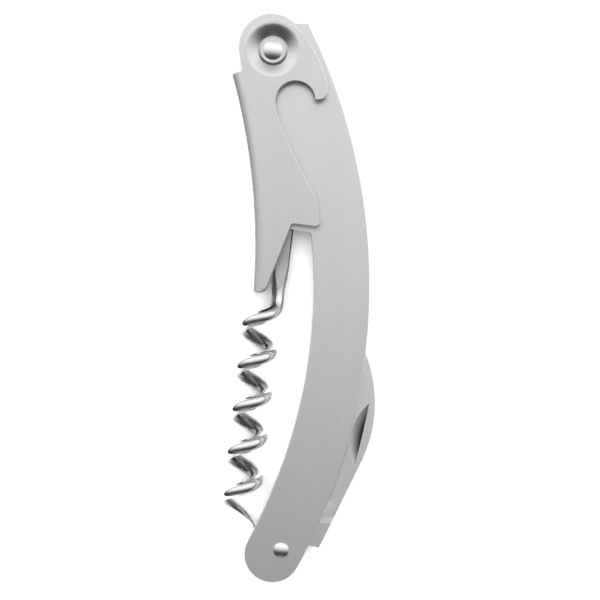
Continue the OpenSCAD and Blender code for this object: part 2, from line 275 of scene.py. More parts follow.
class Recipe:
    """A material's node tree, with short calls to add and join its nodes."""

    def __init__(self, name: str) -> None:
        """Starts an empty material.

        Args:
            name: The material's name.
        """
        self.material = bpy.data.materials.new(name)
        self.material.use_nodes = True
        self.tree = self.material.node_tree
        self.tree.nodes.clear()

    def add(self, kind: str, inputs: dict[str, object] | None = None, **settings: object) -> bpy.types.Node:
        """Adds a node.

        Args:
            kind: The node's type, without its ShaderNode prefix.
            inputs: Values or other nodes' outputs by socket name.
            settings: Settings of the node itself.

        Returns:
            The new node.
        """
        node = self.tree.nodes.new("ShaderNode" + kind)
        for key, value in settings.items():
            setattr(node, key, value)
        for key, value in (inputs or {}).items():
            socket = node.inputs[int(key)] if key.isdigit() else node.inputs[key]
            if isinstance(value, bpy.types.NodeSocket):
                self.tree.links.new(value, socket)
            else:
                socket.default_value = value
        return node

    def lines(self, pitch: float, length: float, lean: float, detail: float) -> bpy.types.NodeSocket:
        """Adds drawn-out noise, as brushing leaves.

        Args:
            pitch: Spacing of the lines, in millimetres.
            length: Length of the lines, in millimetres.
            lean: Turn of the lines from the tool's length, in degrees.
            detail: Octaves of finer noise.

        Returns:
            The noise's value.
        """
        place = self.add("TexCoord").outputs["Object"]
        turned = self.add("Mapping", {"Vector": place, "Rotation": (0.0, 0.0, math.radians(lean))})
        drawn = self.add("Mapping", {"Vector": turned.outputs[0],
                                     "Scale": (1 / (pitch * MM), 1 / (length * MM), 1 / (pitch * MM))})
        return self.add("TexNoise", {"Vector": drawn.outputs[0], "Scale": 1.0, "Detail": detail,
                                     "Roughness": 0.6}).outputs["Fac"]

    def spread(self, value: bpy.types.NodeSocket, low: float, high: float) -> bpy.types.NodeSocket:
        """Adds a remapping of noise to a range.

        Args:
            value: The noise.
            low: What its low end becomes.
            high: What its high end becomes.

        Returns:
            The remapped value.
        """
        return self.add("MapRange", {"Value": value, "From Min": 0.25, "From Max": 0.75,
                                     "To Min": low, "To Max": high}).outputs["Result"]

    def grey(self, level: bpy.types.NodeSocket) -> bpy.types.NodeSocket:
        """Adds a neutral grey of a given level."""
        return self.add("CombineColor", {"Red": level, "Green": level, "Blue": level}).outputs["Color"]

    def steel(self, colour: bpy.types.NodeSocket, rough: bpy.types.NodeSocket, relief: bpy.types.NodeSocket,
              strength: float, depth: float) -> bpy.types.Material:
        """Ends the material with a bare steel surface.

        Args:
            colour: The steel's colour.
            rough: Its roughness.
            relief: The noise that its fine relief follows.
            strength: How strongly the relief shows.
            depth: The relief's depth, in millimetres.

        Returns:
            The finished material.
        """
        bump = self.add("Bump", {"Height": relief, "Strength": strength, "Distance": depth * MM})
        surface = self.add("BsdfPrincipled", {"Base Color": colour, "Metallic": 1.0, "Roughness": rough,
                                              "Normal": bump.outputs["Normal"]})
        self.add("OutputMaterial", {"Surface": surface.outputs["BSDF"]})
        return self.material


@dataclass(frozen=True)
class BrushedSteel:
    """Steel brushed in one direction, with faint lines of lighter and darker grey, and painted shade in a hollow
    where one is given.
    """

    name: str
    tone: float
    warmth: float
    roughness: float
    lean: float = 0.0
    depth: float = 0.002
    contrast: float = 0.015
    # Painted shade: a hollow between these two heights is darkened with depth, down to the factor below.
    hollow: tuple[float, float] | None = None
    hollow_painted_shade: float = 0.1

    def reach(self, recipe: Recipe, level: bpy.types.NodeSocket) -> bpy.types.NodeSocket:
        """Adds painted shade in a stamped hollow, darker with depth.

        Args:
            recipe: The material.
            level: The steel's tone where it is ground.

        Returns:
            The tone, falling with depth between the two heights of the hollow.
        """
        place = recipe.add("SeparateXYZ", {"Vector": recipe.add("TexCoord").outputs["Object"]})
        share = recipe.add("MapRange", {"Value": place.outputs["Z"], "From Min": self.hollow[0] * MM,
                                        "From Max": self.hollow[1] * MM, "To Min": self.hollow_painted_shade})
        return recipe.add("Math", {"0": level, "1": share.outputs["Result"]}, operation="MULTIPLY").outputs[0]

    def material(self) -> bpy.types.Material:
        """Builds the finish's material.

        Returns:
            The material.
        """
        recipe = Recipe(self.name)
        fine = recipe.lines(pitch=0.09, length=9.0, lean=self.lean, detail=3.0)
        broad = recipe.lines(pitch=0.8, length=40.0, lean=self.lean, detail=2.0)
        mottle = recipe.lines(pitch=6.0, length=14.0, lean=self.lean, detail=2.0)
        shade = recipe.add("Math", {"0": recipe.spread(broad, -self.contrast, self.contrast),
                                    "1": recipe.spread(mottle, -self.contrast, self.contrast)},
                           operation="ADD").outputs[0]
        level = recipe.add("Math", {"0": shade, "1": self.tone}, operation="ADD").outputs[0]
        # Painted shade, darker with depth in the hollow.
        if self.hollow:
            level = self.reach(recipe, level)
        red = recipe.add("Math", {"0": level, "1": 1.0 + self.warmth}, operation="MULTIPLY").outputs[0]
        blue = recipe.add("Math", {"0": level, "1": 1.0 - self.warmth}, operation="MULTIPLY").outputs[0]
        colour = recipe.add("CombineColor", {"Red": red, "Green": level, "Blue": blue}).outputs["Color"]
        rough = recipe.spread(fine, self.roughness - 0.05, self.roughness + 0.05)
        return recipe.steel(colour, rough, fine, BRUSHED_RELIEF, self.depth)


@dataclass(frozen=True)
class PolishedSteel:
    """Steel polished to a mirror, with the slight waves that bending and buffing leave."""

    name: str
    tone: float
    roughness: float
    wave: float = 1.5
    depth: float = 0.01

    def material(self) -> bpy.types.Material:
        """Builds the finish's material.

        Returns:
            The material.
        """
        recipe = Recipe(self.name)
        waves = recipe.lines(pitch=self.wave, length=self.wave * 1.6, lean=20.0, detail=2.0)
        scuffs = recipe.lines(pitch=0.15, length=1.2, lean=-30.0, detail=3.0)
        level = recipe.spread(scuffs, self.tone * 0.97, self.tone * 1.03)
        rough = recipe.spread(scuffs, self.roughness * 0.7, self.roughness * 1.4)
        return recipe.steel(recipe.grey(level), rough, waves, POLISHED_RELIEF, self.depth)


@dataclass(frozen=True)
class CoiledSteel:
    """Polished wire with painted shade: the coil's inside is painted dark and made dull, so that the far strands
    look shaded.
    """

    name: str
    tone: float
    roughness: float
    # Tone of the painted shade inside the coil.
    painted_shade_tone: float
    inner_roughness: float
    lean: float
    axis: tuple[float, float, float]
    inside: float
    outside: float
    ragged: float = 0.35
    wave: float = 0.9
    depth: float = 0.012

    def reach(self, recipe: Recipe, patches: bpy.types.NodeSocket) -> bpy.types.NodeSocket:
        """Adds the painted shade's mask, by distance from the coil's axis.

        Args:
            recipe: The material.
            patches: Noise that makes the border of the painted shade uneven.

        Returns:
            Nothing inside the coil, rising to one on its outside.
        """
        place = recipe.add("TexCoord").outputs["Object"]
        along = recipe.add("Mapping", {"Vector": place, "Location": tuple(MM * x for x in self.axis),
                                       "Rotation": (0.0, 0.0, math.radians(-self.lean))}, vector_type="TEXTURE")
        flat = recipe.add("VectorMath", {"0": along.outputs[0], "1": (1.0, 0.0, 1.0)}, operation="MULTIPLY")
        off = recipe.add("VectorMath", {"0": flat.outputs[0]}, operation="LENGTH").outputs["Value"]
        uneven = recipe.add("Math", {"0": off, "1": recipe.spread(patches, -self.ragged * MM, self.ragged * MM)},
                            operation="ADD").outputs[0]
        return recipe.add("MapRange", {"Value": uneven, "From Min": self.inside * MM,
                                       "From Max": self.outside * MM},
                          interpolation_type="SMOOTHSTEP").outputs["Result"]

    def material(self) -> bpy.types.Material:
        """Builds the finish's material.

        Returns:
            The material.
        """
        recipe = Recipe(self.name)
        waves = recipe.lines(pitch=self.wave, length=self.wave * 1.6, lean=20.0, detail=2.0)
        scuffs = recipe.lines(pitch=0.15, length=1.2, lean=-30.0, detail=3.0)
        # Painted shade: the coil's inside is darkened so that the far strands look shaded.
        reach = self.reach(recipe, waves)
        painted_shade_level = recipe.spread(scuffs, self.painted_shade_tone * 0.5, self.painted_shade_tone * 1.6)
        level = recipe.add("MapRange", {"Value": reach, "To Min": painted_shade_level, "To Max": self.tone}).outputs["Result"]
        bright = recipe.spread(scuffs, self.roughness * 0.7, self.roughness * 1.4)
        rough = recipe.add("MapRange", {"Value": reach, "To Min": self.inner_roughness,
                                        "To Max": bright}).outputs["Result"]
        return recipe.steel(recipe.grey(level), rough, waves, POLISHED_RELIEF, self.depth)


PLATE_FINISH = BrushedSteel("brushed_plate_steel", tone=0.84, warmth=0.004, roughness=0.33)
# A darker tone for the lever sheet's sheared rim: partly the edge's own finish, partly painted shade for the
# dark line under the hook and heel.
SHEARED_EDGE_AND_SHADE_FINISH = BrushedSteel("sheared_edge_steel_painted_shade", tone=0.4, warmth=0.0, roughness=0.4)
LEVER_FINISH = BrushedSteel("brushed_lever_steel", tone=0.77, warmth=0.004, roughness=0.27, lean=4.0)
BLADE_FINISH = BrushedSteel("satin_blade_steel", tone=0.9, warmth=0.002, roughness=0.28, lean=70.0, depth=0.001)
# The nail nick's finish is darker, and darker again with depth: painted shade.
NICK_FINISH = BrushedSteel("stamped_nick_steel_painted_shade", tone=0.74, warmth=0.0, roughness=0.35, hollow=(5.12, 5.48))
SPRING_FINISH = BrushedSteel("ground_spring_steel", tone=0.62, warmth=0.002, roughness=0.38, lean=90.0)
WASHER_FINISH = BrushedSteel("satin_washer_steel", tone=0.75, warmth=0.0, roughness=0.25, depth=0.001)
SHANK_FINISH = BrushedSteel("pressed_shank_steel", tone=0.58, warmth=0.002, roughness=0.36, lean=-WORM_LEAN)
# The worm's finish paints shade on the inside of the coil.
WORM_FINISH = CoiledSteel(
    "polished_worm_steel_painted_shade", tone=0.88, roughness=0.07, painted_shade_tone=0.22, inner_roughness=0.3, lean=WORM_LEAN,
    axis=(WORM_PIN.x - HELIX_R * math.cos(math.radians(WORM_LEAN)),
          WORM_PIN.y + HELIX_R * math.sin(math.radians(WORM_LEAN)), WORM_PIN.z),
    inside=2.3, outside=4.0)
RIVET_FINISH = PolishedSteel("polished_rivet_steel", tone=0.92, roughness=0.12, wave=1.0, depth=0.004)


def present(piece: bpy.types.Object, finish: bpy.types.Material, slot: str, body: str, *nodes: str) -> None:
    """Dresses a finished piece, hides the solids that it replaces and lets it ride on its body.

    Args:
        piece: The piece.
        finish: Its material.
        slot: The record's material slot for its finish; not used.
        body: The body that it moves with.
        nodes: The solids that it replaces.
    """
    if piece.data.materials:
        piece.data.materials.clear()
    piece.data.materials.append(finish)
    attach(piece, body)
    if nodes:
        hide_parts(*nodes)
    log.info("%s rides on %s", piece.name, body)


# ---- Rivets and rings ----------------------------------------------------------------------


@dataclass
class Rivet:
    """A rivet with a domed head on each side."""

    pin: Vector
    shank_r: float
    head_r: float
    head_h: float
    seat: float
    rim: float = 0.12
    edge_round: float = 0.06

    def build(self, name: str) -> bpy.types.Object:
        """Turns both heads and the shank in one profile.

        Args:
            name: The piece's name.

        Returns:
            The rivet.
        """
        crown = self.head_h - self.rim
        dome_r = (self.head_r ** 2 + crown ** 2) / (2 * crown)
        half = math.degrees(math.asin(self.head_r / dome_r))
        top = self.seat + self.head_h
        upper = [Arc((0.0, top - dome_r), dome_r, 90.0, 90.0 - half, 14), Corner(self.head_r, self.seat),
                 Corner(self.shank_r, self.seat)]
        lower = [Corner(self.shank_r, -self.seat), Corner(self.head_r, -self.seat),
                 Arc((0.0, dome_r - top), dome_r, half - 90.0, -90.0, 14)]
        bm = bmesh.new()
        turned_shape(bm, upper + lower, closed=False, steps=64)
        bmesh.ops.translate(bm, verts=bm.verts, vec=self.pin)
        piece = to_piece(bm, name)
        round_edges(piece, self.edge_round)
        return piece


@dataclass
class Ring:
    """A flat washer."""

    pin: Vector
    inner_r: float
    outer_r: float
    low: float
    high: float
    edge_round: float = 0.08

    def build(self, name: str, side: Side) -> bpy.types.Object:
        """Turns the washer on one side of the middle plane.

        Args:
            name: The piece's name.
            side: The face of the tool that it lies towards.

        Returns:
            The washer.
        """
        bm = bmesh.new()
        low, high = sorted((side.value * self.low, side.value * self.high))
        turned_shape(bm, [Corner(self.inner_r, low), Corner(self.outer_r, low), Corner(self.outer_r, high),
                          Corner(self.inner_r, high)], closed=True, steps=64)
        bmesh.ops.translate(bm, verts=bm.verts, vec=self.pin)
        piece = to_piece(bm, name)
        round_edges(piece, self.edge_round)
        return piece


# ---- Handle --------------------------------------------------------------------------------


@dataclass
class Handle:
    """Two curved side plates, the sprung spine between them, and what is fixed through them."""

    arc_centre: tuple[float, float] = (-108.0, 2.75)
    arc_r: float = 117.8
    width: float = 11.8
    end_angle: float = -28.8
    ear_top: float = 57.85
    boss_offset: float = -3.15
    boss_angle: float = 26.0
    boss_r: float = 6.9
    lobe_r: float = 5.6
    lobe_tilt: float = -9.6
    sill_fillet: float = 0.7
    channel: float = 1.1
    plate_t: float = 1.2
    edge_round: float = 0.12
    spine_edge_round: float = 0.05
    washer_r: float = 2.7
    washer_low: float = 3.65

    def at(self, offset: float, angle: float) -> Vector:
        """Gives the point at an offset from the centre line and an angle round the handle's curve."""
        return polar(self.arc_centre, self.arc_r + offset, angle)

    def sill(self) -> list[Stroke]:
        """Gives the lobe's lower edge and the fillet that carries it into the concave side.

        Returns:
            The fillet and the concave side.
        """
        centre = Vector((*self.arc_centre, 0.0))
        along = polar((0.0, 0.0), 1.0, self.lobe_tilt)
        down = polar((0.0, 0.0), 1.0, self.lobe_tilt - 90.0)
        start = WORM_PIN.xy.to_3d() + (self.lobe_r + self.sill_fillet) * down
        reach = start - centre
        ahead = reach.dot(along)
        inner = self.arc_r - self.width / 2 - self.sill_fillet
        fillet = start + along * (math.sqrt(ahead ** 2 - reach.length_squared + inner ** 2) - ahead)
        out = heading(fillet - centre)
        return [Arc(fillet.xy[:], self.sill_fillet, self.lobe_tilt + 90.0, out, 8),
                Arc(self.arc_centre, self.arc_r - self.width / 2, out, self.end_angle, 72)]

    def plate_outline(self) -> list[Stroke]:
        """Gives a side plate's outline, anticlockwise from the round end's outer side.

        Returns:
            The outline's strokes.
        """
        outer = self.arc_r + self.width / 2
        boss = self.at(self.boss_offset, self.boss_angle)
        ear_angle = math.degrees(math.asin((self.ear_top - self.arc_centre[1]) / outer))
        ear_meets_boss = math.degrees(math.asin((self.ear_top - boss.y) / self.boss_r))
        span = WORM_PIN.xy.to_3d() - boss
        tangent = heading(span) - math.degrees(math.acos((self.boss_r - self.lobe_r) / span.length)) + 360.0
        end = self.at(0.0, self.end_angle)
        return [
            Arc(self.arc_centre, outer, self.end_angle, ear_angle, 120),
            Arc(boss.xy[:], self.boss_r, ear_meets_boss, tangent, 40),
            Arc(WORM_PIN.xy[:], self.lobe_r, tangent, self.lobe_tilt + 270.0, 20),
            *self.sill(),
            Arc(end.xy[:], self.width / 2, self.end_angle + 180.0, self.end_angle + 360.0, 40),
        ]

    def plate(self, side: Side) -> bpy.types.Object:
        """Cuts one side plate with its rivet holes.

        Args:
            side: The plate's side of the tool.

        Returns:
            The plate.
        """
        bm = bmesh.new()
        shanks = ((LEVER_PIN, LEVER_SHANK_R), (WORM_PIN, WORM_SHANK_R), (KNIFE_PIN, KNIFE_SHANK_R))
        holes: list[list[Stroke]] = [[Arc(pin.xy[:], radius, 0.0, 360.0, 32)] for pin, radius in shanks]
        faces = sorted((side.value * self.channel, side.value * (self.channel + self.plate_t)))
        thick_outline(bm, self.plate_outline(), holes, MIDDLE + faces[0], MIDDLE + faces[1])
        piece = to_piece(bm, f"{side.name.lower()}_plate_steel")
        round_edges(piece, self.edge_round)
        return piece

    def spine(self) -> bpy.types.Object:
        """Copies the spine's solid, merges it and breaks its edges.

        Returns:
            The spine.
        """
        bm = bmesh.new()
        bm.from_mesh(frame["nodes"]["spine_spring"].data)
        bmesh.ops.scale(bm, vec=(1 / MM, 1 / MM, 1 / MM), verts=bm.verts)
        bmesh.ops.remove_doubles(bm, verts=bm.verts, dist=TOUCHING)
        bmesh.ops.dissolve_limit(bm, angle_limit=math.radians(0.5), verts=bm.verts, edges=bm.edges)
        piece = to_piece(bm, "spine_spring_steel", outward=False)
        round_edges(piece, self.spine_edge_round, segments=1)
        return piece

    def build(self) -> None:
        """Builds, dresses and mounts everything that stays with the handle."""
        plate_steel = PLATE_FINISH.material()
        washer_steel = WASHER_FINISH.material()
        rivet_steel = RIVET_FINISH.material()
        spring_steel = SPRING_FINISH.material()
        for side in Side:
            near = side.name.lower()
            present(self.plate(side), plate_steel, "brushed_plate", "handle", f"{near}_plate")
            ring = Ring(LEVER_PIN, LEVER_SHANK_R, self.washer_r, self.washer_low, WASHER_FACE)
            washer = ring.build(f"{near}_lever_washer_ring", side)
            present(washer, washer_steel, "washer_steel", "handle", f"{near}_lever_washer")
            fitted = frame["nodes"][f"{near}_knife_washer"]
            fitted.data.materials.clear()
            fitted.data.materials.append(washer_steel)
        present(self.spine(), spring_steel, "spring_steel", "handle", "spine_spring")
        for name, rivet in (
                ("lever_rivet", Rivet(LEVER_PIN, LEVER_SHANK_R, head_r=2.05, head_h=0.65, seat=WASHER_FACE)),
                ("worm_rivet", Rivet(WORM_PIN, WORM_SHANK_R, head_r=2.1, head_h=0.6, seat=PLATE_FACE)),
                ("knife_rivet", Rivet(KNIFE_PIN, KNIFE_SHANK_R, head_r=1.65, head_h=0.6, seat=PLATE_FACE))):
            present(rivet.build(f"{name}_domed"), rivet_steel, "polished_rivet", "handle", name)
        for dowel in ("upper_dowel", "lower_dowel"):
            hidden = frame["nodes"][dowel]
            hidden.data.materials.clear()
            hidden.data.materials.append(spring_steel)


# ---- Lever ---------------------------------------------------------------------------------


@dataclass
class Lever:
    """The boot lever, folded from one sheet: two cheeks, a curved back, dishes, hooks and foot."""

    sheet_t: float = 1.2
    cheek: float = 4.9
    fold_r: float = 2.0
    back_centre: tuple[float, float] = (-142.1, 11.25)
    back_r: float = 133.2
    back_top: float = 15.43
    notch: float = 0.85
    hook_centre: tuple[float, float] = (0.1, 41.15)
    hook_r: float = 4.05
    heel: tuple[float, float] = (4.45, 21.25)
    toe_centre: tuple[float, float] = (-7.75, 3.2)
    toe_r: float = 2.15
    dish_r: float = 5.55
    dish_floor_r: float = 2.8
    dish_depth: float = 1.3
    dish_power: float = 1.35
    dish_steps: int = 16
    hole_r: float = 1.6
    back_steps: int = 48
    edge_round: float = 0.26
    border_spare: float = 0.01

    def fold_line(self) -> float:
        """Gives the radius of the back's curve where the cheeks start to fold."""
        return self.back_r + self.fold_r

    def toe_end(self) -> tuple[float, float]:
        """Finds where the toe's round meets the fold.

        Returns:
            The meeting's angle round the toe and its angle round the back.
        """
        toe, back = Vector(self.toe_centre), Vector(self.back_centre)
        apart = (toe - back).length
        along = (apart ** 2 + self.fold_line() ** 2 - self.toe_r ** 2) / (2 * apart * self.fold_line())
        back_angle = heading((toe - back).to_3d()) - math.degrees(math.acos(along))
        meeting = polar(self.back_centre, self.fold_line(), back_angle)
        return heading(meeting - toe.to_3d()), back_angle

    def cheek_outline(self) -> list[Stroke]:
        """Gives a cheek's outline from its head, by hook, heel and foot, and up along the fold.

        Returns:
            The outline's strokes.
        """
        toe_angle, foot_angle = self.toe_end()
        notch = polar(self.back_centre, self.fold_line() + self.notch, self.back_top)
        return [
            Corner(notch.x, notch.y),
            Arc((-3.9, 51.15), 7.1, 177.0, 93.0, 24),
            Arc((-5.4, 48.65), 9.67, 82.0, 38.0, 16),
            Arc((-16.6, 39.95), 23.8, 36.0, 11.0, 16),
            Arc((4.95, 43.05), 1.85, 0.0, -75.0, 8),
            Arc((4.55, 41.95), 0.75, -90.0, -122.5, 2),
            Arc(self.hook_centre, self.hook_r, 2.4, 190.0, 36),
            Arc((86.7, 69.65), 95.5, 199.0, 210.3, 16),
            Corner(*self.heel),
            Arc((4.25, 15.75), 1.0, -8.0, -98.0, 8),
            Arc((-0.3, 14.85), 0.5, 100.0, 160.0, 6),
            Arc(self.toe_centre, self.toe_r, -22.0, toe_angle, 5),
            Arc(self.back_centre, self.fold_line(), foot_angle, self.back_top, self.back_steps),
        ]

    def dish(self, bm: BMesh) -> None:
        """Presses the smooth dish round the rivet, down from the cheek's face.

        Args:
            bm: The mesh to press it in.
        """
        steps = self.dish_steps
        run = (self.dish_r - self.dish_floor_r) / steps
        fall = [Corner(self.dish_r - run * i, self.cheek - self.dish_depth * (i / steps) ** self.dish_power)
                for i in range(steps + 1)]
        turned_shape(bm, [*fall, Corner(self.hole_r, self.cheek - self.dish_depth)], closed=False, steps=64)

    def build(self) -> None:
        """Builds the lever as one outer skin, gives the sheet its thickness inwards, and dresses it."""
        bm = bmesh.new()
        self.dish(bm)
        bmesh.ops.translate(bm, verts=bm.verts, vec=LEVER_PIN.xy.to_3d())
        mouth = Arc(LEVER_PIN.xy[:], self.dish_r, 0.0, 360.0, 64)
        edges = trace(bm, self.cheek_outline()) + trace(bm, [mouth])
        bmesh.ops.translate(bm, verts=verts_of(edges), vec=UP * self.cheek)
        filled = bmesh.ops.triangle_fill(bm, edges=edges, use_beauty=True, normal=UP)["geom"]
        bmesh.ops.inset_region(bm, faces=[g for g in filled if isinstance(g, BMFace)], use_boundary=True,
                               thickness=self.edge_round + self.border_spare, use_even_offset=True)
        whole = bm.verts[:] + bm.edges[:] + bm.faces[:]
        bmesh.ops.mirror(bm, geom=whole, matrix=Matrix(), merge_dist=0.0, axis="Z")
        self.fold(bm)
        bmesh.ops.translate(bm, verts=bm.verts, vec=UP * MIDDLE)
        piece = to_piece(bm, "boot_lever_steel")
        wall = piece.modifiers.new("sheet_thickness", "SOLIDIFY")
        wall.thickness = self.sheet_t * MM
        wall.offset = -1.0
        wall.use_even_offset = True
        # The sheet's rim takes the darker sheared-edge finish, which is partly painted shade.
        wall.material_offset_rim = 1
        round_edges(piece, self.edge_round, segments=3, angle=45.0)
        present(piece, LEVER_FINISH.material(), "brushed_lever", "lever", "lever")
        piece.data.materials.append(SHEARED_EDGE_AND_SHADE_FINISH.material())

    def fold(self, bm: BMesh) -> None:
        """Sweeps the folds and the web between them along the back's curve.

        Args:
            bm: The mesh to sweep them in.
        """
        _, foot_angle = self.toe_end()
        flat = self.cheek - self.fold_r
        section = trace(bm, [Arc((self.fold_line(), flat), self.fold_r, 90.0, 180.0, 10),
                             Arc((self.fold_line(), -flat), self.fold_r, 180.0, 270.0, 10)], closed=False)
        verts = verts_of(section)
        turn_about(bm, verts, 90.0, "X")
        turn_about(bm, verts, foot_angle, "Z")
        centre = Vector((*self.back_centre, 0.0))
        bmesh.ops.translate(bm, verts=verts, vec=centre)
        bmesh.ops.spin(bm, geom=verts + section, cent=centre, axis=UP,
                       angle=math.radians(self.back_top - foot_angle), steps=self.back_steps)


# ---- Worm ----------------------------------------------------------------------------------


@dataclass(frozen=True)
class Station:
    """One place along the worm's wire."""

    place: Vector
    spread: float
    half_width: float
    half_height: float
    flat: float


@dataclass
class Worm:
    """The wire worm: an eye, a flattened shank, a five-turn helix and a ground point."""

    wire_r: float = 1.45
    helix_r: float = HELIX_R
    pitch: float = 9.06
    turns: int = 5
    shank: float = 22.65
    lean: float = WORM_LEAN
    eye_bore: float = 1.3
    eye_r: float = 3.1
    eye_t: float = 2.0
    flat_half_width: float = 1.75
    flat_half_height: float = 0.95
    flat_end: float = 13.3
    round_from: float = 18.6
    bend_start: float = 18.4
    join: float = 50.0
    shank_stops: tuple[float, ...] = (1.6, 5.0, 9.0, 12.0, 13.3, 14.3, 15.3, 16.3, 17.2, 17.9)
    bend_steps: int = 16
    bend_pace: float = 0.4
    bend_pull: tuple[float, float] = (3.2, 2.5)
    turn_step: float = 8.0
    flare: float = 180.0
    flare_out: float = 0.6
    flare_drop: float = 1.5
    taper: float = 300.0
    tip_gap: float = 3.0
    tip_size: float = 0.03
    corner_sides: int = 8
    flat_sides: int = 4
    least_flat: float = 0.04
    crisp_from: float = 28.0
    weld: float = 0.0001
    facing_up: float = 0.99

    def helix_at(self, turn: float) -> Vector:
        """Gives the wire's centre at a turn of the helix, with the axis along -Y.

        Args:
            turn: The turn, in degrees from the helix's start.

        Returns:
            The wire's centre.
        """
        late = max(0.0, (turn - self.turns * 360.0 + self.flare) / self.flare)
        radius = self.helix_r + self.flare_out * late ** 2
        angle = math.radians(turn)
        return Vector((radius * math.cos(angle) - self.helix_r,
                       -self.shank - self.pitch * turn / 360.0 - self.flare_drop * late ** 2,
                       radius * math.sin(angle)))

    def bend(self, share: float) -> Vector:
        """Gives the wire's centre along the bend from the shank into the helix.

        Args:
            share: How far along the bend, from nothing to one.

        Returns:
            The wire's centre.
        """
        meet = self.helix_at(self.join)
        ahead = (self.helix_at(self.join + 1.0) - meet).normalized()
        pull = [Vector((0.0, -self.bend_start, 0.0)), Vector((0.0, -self.bend_start - self.bend_pull[0], 0.0)),
                meet - self.bend_pull[1] * ahead, meet]
        rest = 1.0 - share
        weights = (rest ** 3, 3 * rest ** 2 * share, 3 * rest * share ** 2, share ** 3)
        return sum((weight * point for weight, point in zip(weights, pull)), Vector((0.0, 0.0, 0.0)))

    def section(self, along: float, size: float, place: Vector, spread: float) -> Station:
        """Gives the wire's section: flattened near the eye, then round.

        Args:
            along: Distance from the rivet down the shank.
            size: Scale of the wire, which falls towards the point.
            place: The wire's centre.
            spread: Direction of the wire's width, in degrees round the worm's axis.

        Returns:
            The station there.
        """
        worked = min(1.0, max(0.0, (self.round_from - along) / (self.round_from - self.flat_end)))
        tall = 1.0 + (self.flat_half_height / self.wire_r - 1.0) * worked
        flat = max(self.least_flat, math.sqrt(1.0 - tall ** 2))
        wide = self.wire_r + (self.flat_half_width - self.wire_r) * min(1.0, worked * 1.5)
        return Station(place, spread, wide * size, self.wire_r * size, flat)

    def stations(self) -> list[Station]:
        """Gives the places along the wire from the eye to the point.

        Returns:
            The stations in order.
        """
        found = [self.section(y, 1.0, Vector((0.0, -y, 0.0)), 0.0) for y in self.shank_stops]
        steps = self.bend_steps
        found += [self.section(self.bend_start + self.bend_pace * i, 1.0, self.bend(i / steps),
                               self.join * i / steps) for i in range(steps)]
        turn, end = self.join, self.turns * 360.0
        while turn < end - self.tip_gap:
            size = min(1.0, math.sqrt((end - turn) / self.taper))
            found.append(self.section(self.shank, size, self.helix_at(turn), turn))
            turn += self.turn_step
        found.append(self.section(self.shank, self.tip_size, self.helix_at(end), end))
        return found

    def ring(self, station: Station) -> list[tuple[float, float]]:
        """Gives the section's points: two round sides and two flats.

        Args:
            station: The place along the wire.

        Returns:
            Each point's distance across and up from the wire's centre.
        """
        border = math.degrees(math.acos(station.flat))
        half = border * 2.0 / self.corner_sides
        right = [-border + half * i for i in range(self.corner_sides)]
        points = []
        for first in (0.0, 180.0):
            for angle in right:
                turn = math.radians(first + angle)
                points.append((math.cos(turn), math.sin(turn)))
            start = math.radians(first + border)
            x, y = math.cos(start), math.sin(start)
            points += [(x - 2 * x * i / self.flat_sides, y) for i in range(self.flat_sides)]
        return [(x * station.half_width, y * station.half_height) for x, y in points]

    def sweep(self, bm: BMesh) -> None:
        """Draws the wire by extruding its section from station to station.

        Args:
            bm: The mesh to draw it in.
        """
        stops = self.stations()
        sides = 2 * (self.corner_sides + self.flat_sides)
        loop = bmesh.ops.create_circle(bm, segments=sides, radius=1.0)["verts"]
        edges = list(dict.fromkeys(edge for vert in loop for edge in vert.link_edges))
        loop = self.in_order(edges)
        first_edges = edges
        for i, stop in enumerate(stops):
            if i:
                grown = bmesh.ops.extrude_edge_only(bm, edges=edges)["geom"]
                edges = [g for g in grown if isinstance(g, BMEdge)
                         and all(v in grown for v in g.verts)]
                loop = self.follow(loop, set(g for g in grown if isinstance(g, BMVert)))
            ahead = (stops[min(i + 1, len(stops) - 1)].place - stops[max(i - 1, 0)].place).normalized()
            out = Vector((math.cos(math.radians(stop.spread)), 0.0, math.sin(math.radians(stop.spread))))
            across = (out - out.dot(ahead) * ahead).normalized()
            up = ahead.cross(across)
            for vert, (x, y) in zip(loop, self.ring(stop)):
                vert.co = stop.place + x * across + y * up
        bmesh.ops.contextual_create(bm, geom=first_edges)
        bmesh.ops.contextual_create(bm, geom=edges)

    @staticmethod
    def in_order(edges: list[BMEdge]) -> list[BMVert]:
        """Gives the points of a closed ring of edges in order round it.

        Args:
            edges: The ring's edges.

        Returns:
            Its points.
        """
        ring = [edges[0].verts[0], edges[0].verts[1]]
        used = {edges[0]}
        while len(ring) < len(edges):
            ahead = next(e for e in ring[-1].link_edges if e in edges and e not in used)
            used.add(ahead)
            ring.append(ahead.other_vert(ring[-1]))
        return ring

    @staticmethod
    def follow(loop: list[BMVert], new: set[BMVert]) -> list[BMVert]:
        """Gives the new points that an extrusion joined to each point of a ring."""
        return [next(e.other_vert(vert) for e in vert.link_edges if e.other_vert(vert) in new) for vert in loop]

    def build(self) -> None:
        """Builds the worm hanging from its rivet, leans it into place, and dresses it."""
        bm = bmesh.new()
        self.sweep(bm)
        half = self.eye_t / 2
        turned_shape(bm, [Corner(self.eye_bore, -half), Corner(self.eye_r, -half), Corner(self.eye_r, half),
                          Corner(self.eye_bore, half)], closed=True, steps=48)
        turn_about(bm, bm.verts, -self.lean, "Z")
        bmesh.ops.translate(bm, verts=bm.verts, vec=WORM_PIN)
        piece = to_piece(bm, "wire_worm", weld=self.weld)
        piece.data.set_sharp_from_angle(angle=math.radians(self.crisp_from))
        present(piece, WORM_FINISH.material(), "polished_worm", "worm", "worm")
        piece.data.materials.append(SHANK_FINISH.material())
        low = (WORM_PIN.y - self.round_from) * MM
        for face in piece.data.polygons:
            face.material_index = int(abs(face.normal.z) > self.facing_up and face.center.y > low)


# ---- Knife ---------------------------------------------------------------------------------


